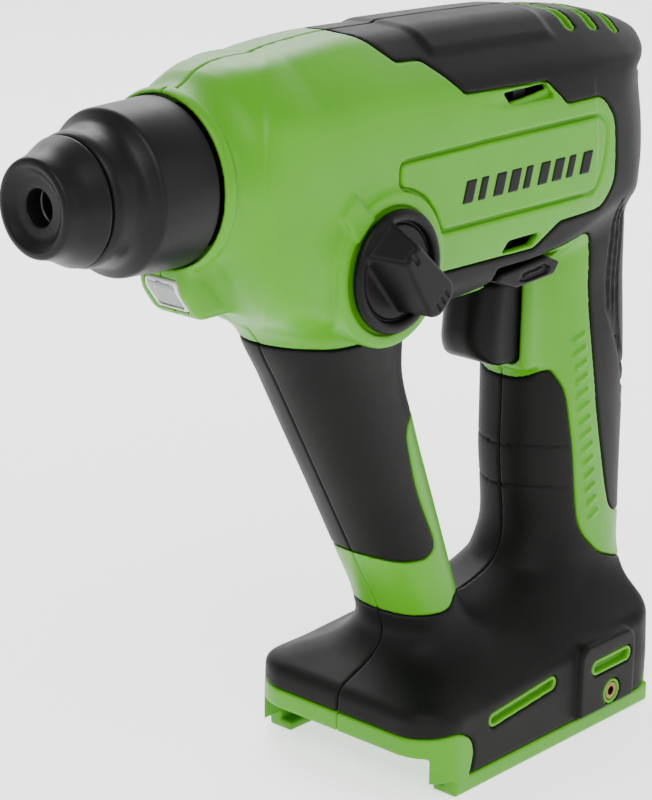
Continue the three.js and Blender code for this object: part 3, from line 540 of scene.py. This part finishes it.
def boss_field(x, a, z):
    """Round boss behind the dial with its pointer tab."""
    radial = np.sqrt((x - DIAL_X)**2 + (z - DIAL_Z)**2)
    ring = smax(radial - DIAL_RADIUS - 4.4, slab(a, 22, BODY_HALF + 1.4), 1.2)
    ring = smax(ring, -np.maximum(radial - DIAL_RADIUS - 0.5, BODY_HALF + 0.2 - a), 0.5)
    turn = math.radians(TAB_ANGLE)
    along = (x - DIAL_X) * math.cos(turn) + (z - DIAL_Z) * math.sin(turn)
    across = -(x - DIAL_X) * math.sin(turn) + (z - DIAL_Z) * math.cos(turn)
    tab = np.maximum(slab(along, 18, 28.5), np.abs(across) - 4.4 + 0.06 * (along - 20))
    tab = smax(tab, slab(a, 22, BODY_HALF + 1.5 + 0.05 * (28 - along)), 0.8)
    return smin(ring, tab, 0.8)


def foot_slots(x, z):
    return (capsule(x, z, (24.5, 20.4), (54, 23.1), 2.6),
            capsule(x, z, (75.5, 22.4), (91.5, 22.6), 2.9))


def rail_field(x, a, z):
    upright = cuboid(x, a, z, (6, 34.5, 0), (108, FOOT_HALF, RAIL_TOP + 1), 0.8)
    flange = cuboid(x, a, z, (6, 30, 0), (108, 37, 3.2), 0.8)
    return np.minimum(upright, flange)


def hollow_field(form, x, a, z):
    room = form + WALL
    room = np.maximum(room, -60.2 - x)
    return np.maximum(room, CHANNEL_TOP + WALL - z)


def label_groove(x, a, z):
    line = np.abs(polygon(x, z, LABEL)) - 0.55
    return np.maximum(line, BODY_HALF - 1.7 - a)


def ribs_field(x, a, z, form):
    """A ladder of raised slanted ribs up the green strip of the grip."""
    field = np.full(form.shape, 9.0, np.float32)
    for i in range(RIB_COUNT):
        share = i / (RIB_COUNT - 1)
        middle_x = RIB_LOW[0] + (RIB_HIGH[0] - RIB_LOW[0]) * share
        middle_z = RIB_LOW[1] + (RIB_HIGH[1] - RIB_LOW[1]) * share
        bar = capsule(x, z, (middle_x - 2, middle_z - 0.9), (middle_x + 2, middle_z + 0.7), 0.9)
        field = np.minimum(field, smax(bar, np.abs(form) - 0.8, 0.5))
    return field


def posts(x, a, z, form):
    field = np.full(form.shape, 9.0, np.float32)
    for low, high in SCREWS:
        middle = (low + high) / 2
        radial = np.sqrt((x - middle[0])**2 + (z - middle[2])**2)
        field = np.minimum(field, np.maximum(np.maximum(radial - 5.2, 1.9 - radial), form + RUBBER + 0.6))
    return field


def screw_holes(x, a, z):
    field = None
    for low, high in SCREWS:
        middle = (low + high) / 2
        radial = np.sqrt((x - middle[0])**2 + (z - middle[2])**2)
        hole = np.maximum(radial - 3.9, 7.3 - a)
        field = hole if field is None else np.minimum(field, hole)
    return field


def grooves(skins, x, a, z, form):
    """Finger lines on the front of the grip and sweeping ribs on its back."""
    for height in (76, 90.5):
        line = np.abs(z - height + 0.004 * (x - 72)**2 - 0.06 * a) - 0.35
        depth = 0.6 * ramp(x, 90, 80)
        cut = np.maximum(np.maximum(line, -(form + depth)), x - 90)
        skins["foot"] = smax(skins["foot"], -cut, 0.3)
    for k in range(3):
        path = [(98.5 + 3.2 * k, 172 - 3 * k), (100 + 3.2 * k, 150), (103 + 3.2 * k, 134 - 2 * k),
                (112 + 2 * k, 119 - 4 * k), (121, 110 - 6 * k), (134, 103 - 7 * k)]
        depth = 0.6 * ramp(a, 5, 11)
        cut = np.maximum(polyline(x, z, path) - 0.8, -(form + depth))
        skins["rear"] = smax(skins["rear"], -cut, 0.8)


def build_shells():
    for side, label in ((-1, "left"), (1, "right")):
        low, hard, skins = shell_half(side)
        shell = mesh_field(f"shell_{label}", hard, low, VOXEL, mirror=side < 0)
        place(shell, "casing", "green_plastic", GREEN, f"housing_{label}")
        for name, field in skins.items():
            node = f"{SKIN_OF[name]}_{label}"
            skin = mesh_field(f"{name}_skin_{label}", field, low, VOXEL, mirror=side < 0)
            place(skin, "casing", "black_rubber", RUBBER_BLACK, node)


def place(piece, body, slot, material, *nodes):
    piece.data.materials.clear()
    piece.data.materials.append(material)
    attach(piece, body)
    if nodes:
        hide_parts(*nodes)


# ---------------------------------------------------------------- materials
def shader(name, color, roughness, metallic=0.0):
    made = bpy.data.materials.new(name)
    made.use_nodes = True
    tree = made.node_tree
    bsdf = tree.nodes["Principled BSDF"]
    bsdf.inputs["Base Color"].default_value = (*color, 1)
    bsdf.inputs["Roughness"].default_value = roughness
    bsdf.inputs["Metallic"].default_value = metallic
    return made, tree, bsdf


def noise(tree, scale, detail=4.0, roughness=0.55):
    """A noise texture in object space; the scale counts features per metre."""
    where = tree.nodes.new("ShaderNodeTexCoord")
    texture = tree.nodes.new("ShaderNodeTexNoise")
    texture.inputs["Scale"].default_value = scale
    texture.inputs["Detail"].default_value = detail
    texture.inputs["Roughness"].default_value = roughness
    tree.links.new(where.outputs["Object"], texture.inputs["Vector"])
    return texture.outputs["Fac"]


def spread(tree, value, low, high):
    """Maps a 0..1 value to a range."""
    change = tree.nodes.new("ShaderNodeMapRange")
    change.inputs["To Min"].default_value = low
    change.inputs["To Max"].default_value = high
    tree.links.new(value, change.inputs["Value"])
    return change.outputs["Result"]


def tint(tree, bsdf, value, dark, light):
    """Colours the surface from dark to light as the value rises."""
    colors = tree.nodes.new("ShaderNodeValToRGB")
    colors.color_ramp.elements[0].position = 0.3
    colors.color_ramp.elements[0].color = (*dark, 1)
    colors.color_ramp.elements[1].position = 0.7
    colors.color_ramp.elements[1].color = (*light, 1)
    tree.links.new(value, colors.inputs["Fac"])
    tree.links.new(colors.outputs["Color"], bsdf.inputs["Base Color"])


def bump(tree, bsdf, value, strength, distance):
    node = tree.nodes.new("ShaderNodeBump")
    node.inputs["Strength"].default_value = strength
    node.inputs["Distance"].default_value = distance
    tree.links.new(value, node.inputs["Height"])
    tree.links.new(node.outputs["Normal"], bsdf.inputs["Normal"])


def moulded(name, dark, light, rough, grain, depth, specular=0.5):
    """Moulded plastic or rubber: spark-eroded grain, faint cloudiness and handling marks."""
    made, tree, bsdf = shader(name, light, rough[0])
    tint(tree, bsdf, noise(tree, 35, 3), dark, light)
    tree.links.new(spread(tree, noise(tree, 90, 5), *rough), bsdf.inputs["Roughness"])
    bump(tree, bsdf, noise(tree, grain, 3, 0.6), depth, 0.0003)
    bsdf.inputs["Specular IOR Level"].default_value = specular
    return made


def metal(name, dark, light, rough, grain=900, depth=0.15):
    made, tree, bsdf = shader(name, light, rough[0], 1.0)
    tint(tree, bsdf, noise(tree, 120, 4), dark, light)
    tree.links.new(spread(tree, noise(tree, 260, 5), *rough), bsdf.inputs["Roughness"])
    bump(tree, bsdf, noise(tree, grain, 4), depth, 0.0002)
    return made


GREEN = moulded("green_plastic", (0.050, 0.232, 0.0008), (0.058, 0.262, 0.0012), (0.34, 0.44),
                2600, 0.10, 0.26)
RUBBER_BLACK = moulded("black_rubber", (0.0030, 0.0030, 0.0028), (0.0048, 0.0048, 0.0044),
                       (0.48, 0.60), 3200, 0.22, 0.11)
PLASTIC_BLACK = moulded("black_plastic", (0.0028, 0.0028, 0.0027), (0.0042, 0.0042, 0.004),
                        (0.36, 0.46), 2400, 0.14, 0.10)
CAP_RUBBER = moulded("cap_rubber", (0.0030, 0.0030, 0.0032), (0.0045, 0.0045, 0.0046), (0.34, 0.46),
                     2000, 0.10, 0.14)
WHITE = moulded("white_plastic", (0.60, 0.60, 0.56), (0.68, 0.68, 0.65), (0.42, 0.55), 2200, 0.10)
STEEL = metal("steel", (0.34, 0.35, 0.37), (0.50, 0.51, 0.53), (0.24, 0.38))
DARK_STEEL = metal("dark_steel", (0.045, 0.047, 0.05), (0.085, 0.088, 0.092), (0.32, 0.5))
ALUMINIUM = metal("aluminium", (0.42, 0.43, 0.45), (0.56, 0.57, 0.59), (0.38, 0.55), 1500, 0.3)
# Brass with its colour darkened far below the metal's own as painted shade, so the hook's hole looks dark
# inside.
BRASS_WITH_PAINTED_SHADE = metal("brass", (0.16, 0.095, 0.028), (0.24, 0.15, 0.05), (0.3, 0.45))
BOARD = moulded("board", (0.008, 0.08, 0.028), (0.012, 0.12, 0.04), (0.30, 0.42), 1400, 0.2)


def clear_material():
    made, tree, bsdf = shader("clear", (0.93, 0.95, 0.97), 0.06)
    bsdf.inputs["Transmission Weight"].default_value = 0.9
    bsdf.inputs["IOR"].default_value = 1.49
    tree.links.new(spread(tree, noise(tree, 300, 3), 0.04, 0.14), bsdf.inputs["Roughness"])
    return made


CLEAR = clear_material()
LOOKS = {"green_plastic": GREEN, "black_rubber": RUBBER_BLACK, "black_plastic": PLASTIC_BLACK,
         "steel": STEEL, "dark_steel": DARK_STEEL, "aluminium": ALUMINIUM, "brass": BRASS_WITH_PAINTED_SHADE,
         "board": BOARD, "clear": CLEAR, "white_plastic": WHITE}


# Parts inside the motor seen through the vents: their dark steel is painted shade, so the vents look dark
# inside.
VENT_PARTS_PAINTED_DARK = ("stator", "rotor", "hammer_tube", "motor_bracket")


def dress_cad():
    """Gives each carried-over CAD node the look of its material slot; the parts seen through the vents
    get dark steel instead, as painted shade for the vents' dark inside.
    """
    slots = {row["node"]: row["material_slot"] for row in frame["record"]["subparts"]}
    for name, node in frame["nodes"].items():
        look = DARK_STEEL if name in VENT_PARTS_PAINTED_DARK else LOOKS[slots[name]]
        node.data.materials.clear()
        node.data.materials.append(look)


# ---------------------------------------------------------------- turned parts
def soften(points, radius, steps=5):
    """Rounds the corners of a closed profile of (x, radius) pairs."""
    out = []
    count = len(points)
    for i in range(count):
        before, here, after = (np.array(points[(i + d) % count][:2], float) for d in (-1, 0, 1))
        wanted = points[i][2] if len(points[i]) > 2 else radius
        to_before, to_after = before - here, after - here
        b, c = np.linalg.norm(to_before), np.linalg.norm(to_after)
        reach = min(wanted, 0.45 * b, 0.45 * c)
        if reach < 0.02:
            out.append(here)
            continue
        start, end = here + to_before / b * reach, here + to_after / c * reach
        for t in np.linspace(0, 1, steps):
            out.append((1 - t)**2 * start + 2 * t * (1 - t) * here + t**2 * end)
    return out


def spun(name, profile, axis_z, radius=0.4, steps=96):
    """A closed profile spun about an axis along X."""
    ring = soften(profile, radius)
    count = len(ring)
    verts, faces = [], []
    for i in range(steps):
        angle = 2 * math.pi * i / steps
        for x, r in ring:
            verts.append((x * MM, r * math.cos(angle) * MM, (axis_z + r * math.sin(angle)) * MM))
    for i in range(steps):
        after = (i + 1) % steps
        for k in range(count):
            n = (k + 1) % count
            faces.append((i * count + k, i * count + n, after * count + n, after * count + k))
    mesh = bpy.data.meshes.new(name)
    mesh.from_pydata(verts, [], faces)
    piece = bpy.data.objects.new(name, mesh)
    bpy.context.scene.collection.objects.link(piece)
    finish_mesh(piece, math.radians(50))
    return piece


def build_chuck():
    front, back = CAP_LOW[0], CAP_HIGH[0]
    cap = spun("dust_cap", [
        (front + 2.4, 5.06, 0.6), (front + 2.2, 8.6, 1.0), (front + 1.0, 10.2, 0.8),
        (front, 11.4, 1.6), (front + 0.3, 13.4, 2.2), (front + 5.4, 14.5, 2.5),
        (back - 0.8, 17.66, 0.5), (back, 17.3, 0.4), (back, 13.2), (back - 5, 13.2),
        (back - 5, 5.06)], AXIS_Z, 0.4)
    place(cap, "spindle", "black_rubber", CAP_RUBBER, "nose_cap")
    front, back = SLEEVE_LOW[0], SLEEVE_HIGH[0]
    sleeve = spun("chuck_sleeve_skin", [
        (front, 13.4), (front, 17.5, 0.8), (front + 2, 18.45, 1), (front + 7.5, 18.6, 2.5),
        (front + 10, 19.6, 2), (front + 11.6, 21.4, 1.2), (front + 12.8, 23.0, 0.9),
        (back, 23.7, 0.6), (back, 17.2), (back - 11.6, 17.2), (back - 11.6, 11.3),
        (back - 15, 11.3), (back - 15, 14.6), (back - 22.4, 14.6), (back - 22.4, 13.4)],
        AXIS_Z, 0.3)
    place(sleeve, "chuck_sleeve", "black_plastic", CAP_RUBBER, "locking_sleeve")
    front, back = HOLDER_LOW[0], HOLDER_HIGH[0]
    holder = spun("bit_holder", [
        (front, 5.06, 1), (front, 12.9), (front + 2.8, 12.9), (front + 2.8, 11), (FLANGE_X, 11),
        (FLANGE_X, 16.6), (FLANGE_X + 3.2, 16.6), (FLANGE_X + 3.2, 13), (back, 13), (back, 7),
        (FLANGE_X + 3.6, 7), (FLANGE_X + 3.6, 5.06)], AXIS_Z, 0.3)
    place(holder, "spindle", "steel", DARK_STEEL, "tool_holder")


def build_sleeve_spring():
    """A wound wire with a round section, for the spring that the sleeve squeezes as it is pulled back;
    the mesh keeps one fixed length.
    """
    low, high = box_mm("sleeve_spring")
    wire = SPRING_WIRE
    radius = (high[1] - low[1]) / 2 - wire
    start, length = low[0] + wire + 0.05, high[0] - low[0] - 2 * wire - 0.1
    steps, sides = 48 * SPRING_TURNS, 12
    verts, faces = [], []
    for i in range(steps + 1):
        angle = 2 * math.pi * SPRING_TURNS * i / steps
        for k in range(sides):
            turn = 2 * math.pi * k / sides
            reach = radius + wire * math.cos(turn)
            along = start + length * i / steps + wire * math.sin(turn)
            verts.append((along * MM, reach * math.cos(angle) * MM,
                          (AXIS_Z + reach * math.sin(angle)) * MM))
    for i in range(steps):
        for k in range(sides):
            after = (k + 1) % sides
            faces.append((i * sides + k, i * sides + after, (i + 1) * sides + after, (i + 1) * sides + k))
    faces.append(tuple(range(sides)))
    faces.append(tuple(steps * sides + k for k in reversed(range(sides))))
    mesh = bpy.data.meshes.new("sleeve_return_spring")
    mesh.from_pydata(verts, [], faces)
    spring = bpy.data.objects.new("sleeve_return_spring", mesh)
    bpy.context.scene.collection.objects.link(spring)
    finish_mesh(spring, math.radians(60))
    place(spring, "spindle", "steel", STEEL, "sleeve_spring")
    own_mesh(spring)


# ---------------------------------------------------------------- controls
def build_dial():
    low = (DIAL_LOW[0] - 2, DIAL_LOW[1] - 1.5, DIAL_LOW[2] - 2)
    high = (DIAL_HIGH[0] + 2, DIAL_HIGH[1] + 1.5, DIAL_HIGH[2] + 2)
    x, y, z = grid(low, high, FINE)
    radial = np.sqrt((x - DIAL_X)**2 + (z - DIAL_Z)**2)
    face = -DIAL_LOW[1]
    depth = -y
    turn = math.radians(LEVER_ANGLE)
    along = (x - DIAL_X) * math.cos(turn) + (z - DIAL_Z) * math.sin(turn)
    across = -(x - DIAL_X) * math.sin(turn) + (z - DIAL_Z) * math.cos(turn)
    disc = smax(radial - DIAL_RADIUS + 0.15, slab(depth, BODY_HALF + 1.4, BODY_HALF + 4.4), 1.8)
    disc = smax(disc, -np.maximum(radial - 14.6, BODY_HALF + 2.4 - depth), 1.6)
    base = BODY_HALF + 3
    rise = np.clip((depth - base) / (face - base), 0, 1)
    outer_half = np.interp(along, (-11, 12.7), (3.6, 6.9))
    half_wide = 7.4 * (1 - rise) + outer_half * rise
    lever = smax(np.abs(across) - half_wide, slab(along, -16 + 5 * rise, 13), 1.4)
    lever = smax(lever, (np.abs(across) + along - 16.5) * 0.71, 1.2)
    lever = smax(lever, radial - 17.2, 1.2)
    lever = smax(lever, slab(depth, BODY_HALF + 2, face - 0.05), 1.2)
    pointer = smax(np.abs(across) - 0.8, slab(along, -14, -7), 0.5)
    lever = smax(lever, -np.maximum(pointer, face - 0.7 - depth), 0.4)
    for step in (0, 2.4, 4.8):
        mark = capsule(along, across, (8.6, step - 2.4), (10.8, step - 2.4), 0.35)
        lever = smax(lever, -np.maximum(mark, face - 0.6 - depth), 0.3)
    stem = smax(radial - DIAL_RADIUS + 4.6, slab(depth, BODY_HALF - 5, BODY_HALF + 3), 0.5)
    whole = smin(smin(disc, stem, 0.5), lever, 1.2)
    dial = mesh_field("dial_knob", whole, low, FINE)
    place(dial, "dial", "black_plastic", PLASTIC_BLACK, "mode_dial")


def build_trigger():
    """One blade, leaning back towards its top, with a soft rounded face and a shallow finger hollow."""
    low, high = TRIGGER_LOW, TRIGGER_HIGH
    corner = tuple(low - 1.5)
    x, y, z = grid(corner, tuple(high + 1.5), FINE)
    rise = (z - low[2]) / (high[2] - low[2])
    front = low[0] + 0.2 + 3.2 * rise - 0.8 * np.sin(math.pi * np.clip(rise, 0, 1))
    side = np.abs(y) - high[1] + 0.1
    field = arc_corner(side, front - x, 8.5)
    field = smax(field, slab(z, low[2] + 0.1, high[2] - 0.1), 2.5)
    field = smax(field, (low[2] - z + (low[0] + 7 - x) * 0.9) * 0.74, 5)
    field = smax(field, x - high[0] + 0.1, 1)
    piece = mesh_field("trigger_blade", field, corner, FINE)
    place(piece, "trigger", "black_plastic", PLASTIC_BLACK, "trigger")


def build_selector():
    low, high = box_mm("direction_selector")
    corner = (low[0] - 1.5, low[1] - 1.5, low[2] - 1.5)
    x, y, z = grid(corner, tuple(high + 1.5), FINE)
    depth = np.abs(y)
    shape = rounded([(33, 157.6), (43, 153.8), (62, 154.8), (64.8, 158.4), (58, 161.4), (35, 159.6)], 1)
    end = smax(polygon(x, z, shape), slab(depth, 20, 27.5), 1.2)
    recess = rounded([(44, 156), (48, 155.2), (58, 155.9), (59.5, 157.8), (56, 159.2), (46, 158.2)], 0.6)
    end = smax(end, -np.maximum(polygon(x, z, recess), 26.6 - depth), 0.4)
    arrow = capsule(x, z, (47.5, 156.9), (56, 157.6), 0.45)
    end = np.minimum(end, np.maximum(arrow, slab(depth, 26, 27.1)))
    bar = cuboid(x, y, z, (52, -21, 155.2), (61, 21, 159.4), 0.6)
    piece = mesh_field("direction_slider", np.minimum(end, bar), corner, FINE)
    place(piece, "selector", "black_plastic", PLASTIC_BLACK, "direction_selector")


def build_lamp():
    """A clear window in a white frame, cut off along the chin's sloping front."""
    low, high = box_mm("lamp_lens")
    corner = tuple(low - 1)
    x, y, z = grid(corner, tuple(high + 1), FINE)
    chamfer = chin_slope(x, z)
    block = smax(cuboid(x, y, z, low, high, 1.2), chamfer, 1)
    rim = 1.1
    inner = cuboid(x, y, z, low + (-5, rim, rim), high + (5, -rim, -rim), 0.8)
    lens = mesh_field("lamp_window", smax(np.maximum(block, inner), chamfer + 0.5, 0.6), corner, FINE)
    place(lens, "casing", "clear", CLEAR, "lamp_lens")
    frame_field = smax(block, -(inner - 0.1), 0.4)
    ring = mesh_field("lamp_frame", frame_field, corner, FINE)
    place(ring, "casing", "white_plastic", WHITE)


def build_panel_bars():
    """A row of plain slanted bars let into each side panel."""
    for side, label in ((-1, "left"), (1, "right")):
        low = (BAR_X[0] - 2, BODY_HALF - 2, BAR_Z[0] - 2)
        x, a, z = grid(low, (BAR_X[1] + 4, BODY_HALF + 1.4, BAR_Z[1] + 2), FINE)
        field = None
        for i in range(BAR_COUNT):
            left = BAR_X[0] + (BAR_X[1] - BAR_X[0]) * i / BAR_COUNT
            wide = BAR_WIDE[i % len(BAR_WIDE)]
            corners = [(left, BAR_Z[0]), (left + wide, BAR_Z[0]), (left + wide + 2, BAR_Z[1]),
                       (left + 2, BAR_Z[1])]
            bar = polygon(x, z, rounded(corners, 0.5))
            bar = smax(bar, slab(a, BODY_HALF - 1, BODY_HALF + 0.25), 0.3)
            field = bar if field is None else np.minimum(field, bar)
        bars = mesh_field(f"panel_bars_{label}", field, low, FINE, mirror=side < 0, whole=True)
        place(bars, "casing", "black_plastic", PLASTIC_BLACK)


# ---------------------------------------------------------------- stage
FLOOR_REACH = 3.0  # metres, as is the sweep behind the object
SWEEP_START = 1.35
SWEEP_RADIUS = 0.6
WALL_TOP = 2.6


def build_stage():
    mesh = bpy.data.meshes.new("floor")
    edit = bmesh.new()
    steps = [(-FLOOR_REACH, 0.0), (SWEEP_START, 0.0)]
    for i in range(1, 13):
        angle = math.pi / 2 * i / 12
        along = SWEEP_START + SWEEP_RADIUS * math.sin(angle)
        steps.append((along, SWEEP_RADIUS - SWEEP_RADIUS * math.cos(angle)))
    steps.append((SWEEP_START + SWEEP_RADIUS, WALL_TOP))
    rows = [[edit.verts.new((side, along, up)) for along, up in steps]
            for side in (-FLOOR_REACH, FLOOR_REACH)]
    for k in range(len(steps) - 1):
        edit.faces.new((rows[0][k], rows[1][k], rows[1][k + 1], rows[0][k + 1]))
    edit.to_mesh(mesh)
    edit.free()
    mesh.shade_smooth()
    floor = bpy.data.objects.new("floor", mesh)
    floor.rotation_euler = (0, 0, math.radians(-48))
    bpy.context.scene.collection.objects.link(floor)
    paper, tree, bsdf = shader("paper", (0.90, 0.90, 0.90), 0.9)
    bsdf.inputs["Emission Color"].default_value = (1, 1, 1, 1)
    bsdf.inputs["Emission Strength"].default_value = 1.3
    tint(tree, bsdf, noise(tree, 3, 2), (0.88, 0.88, 0.88), (0.91, 0.91, 0.91))
    floor.data.materials.append(paper)


def area_light(name, place_at, aim, size, power):
    data = bpy.data.lights.new(name, "AREA")
    data.shape = "RECTANGLE"
    data.size, data.size_y = size
    data.energy = power
    lamp = bpy.data.objects.new(name, data)
    lamp.location = place_at
    way = Vector(aim) - Vector(place_at)
    lamp.rotation_euler = way.to_track_quat("-Z", "Y").to_euler()
    bpy.context.scene.collection.objects.link(lamp)


WORLD_STRENGTH = 0.72


def build_lights():
    world = bpy.data.worlds.new("studio")
    world.use_nodes = True
    background = world.node_tree.nodes["Background"]
    background.inputs["Color"].default_value = (1, 1, 1, 1)
    background.inputs["Strength"].default_value = WORLD_STRENGTH
    bpy.context.scene.world = world
    aim = (0, 0, 0.13)
    area_light("key", (-0.75, -0.55, 1.15), aim, (0.9, 0.7), 14)
    area_light("front", (-0.9, -1.1, 0.45), aim, (0.8, 0.8), 4)
    area_light("side", (0.55, -1.1, 0.6), aim, (0.7, 0.9), 4)
    area_light("rim", (0.5, 0.8, 1.0), aim, (0.8, 0.6), 10)


CAMERA_PLACE = (-0.5448, -0.4774, 0.3535)
CAMERA_RIGHT = (0.67091, -0.74141, 0.013806)
CAMERA_UP = (0.217108, 0.214197, 0.952357)
CAMERA_LENS = 113.01


def build_camera():
    right = Vector(CAMERA_RIGHT)
    up = Vector(CAMERA_UP)
    back = right.cross(up)
    data = bpy.data.cameras.new("camera")
    data.sensor_width = 36
    data.lens = CAMERA_LENS
    data.clip_start = 0.01
    camera = bpy.data.objects.new("camera", data)
    turn = Matrix((right, up, back)).transposed()
    camera.matrix_world = Matrix.Translation(CAMERA_PLACE) @ turn.to_4x4()
    bpy.context.scene.collection.objects.link(camera)
    bpy.context.scene.camera = camera


dress_cad()
build_shells()
build_chuck()
build_sleeve_spring()
build_dial()
build_trigger()
build_selector()
build_lamp()
build_panel_bars()
build_stage()
build_lights()
build_camera()
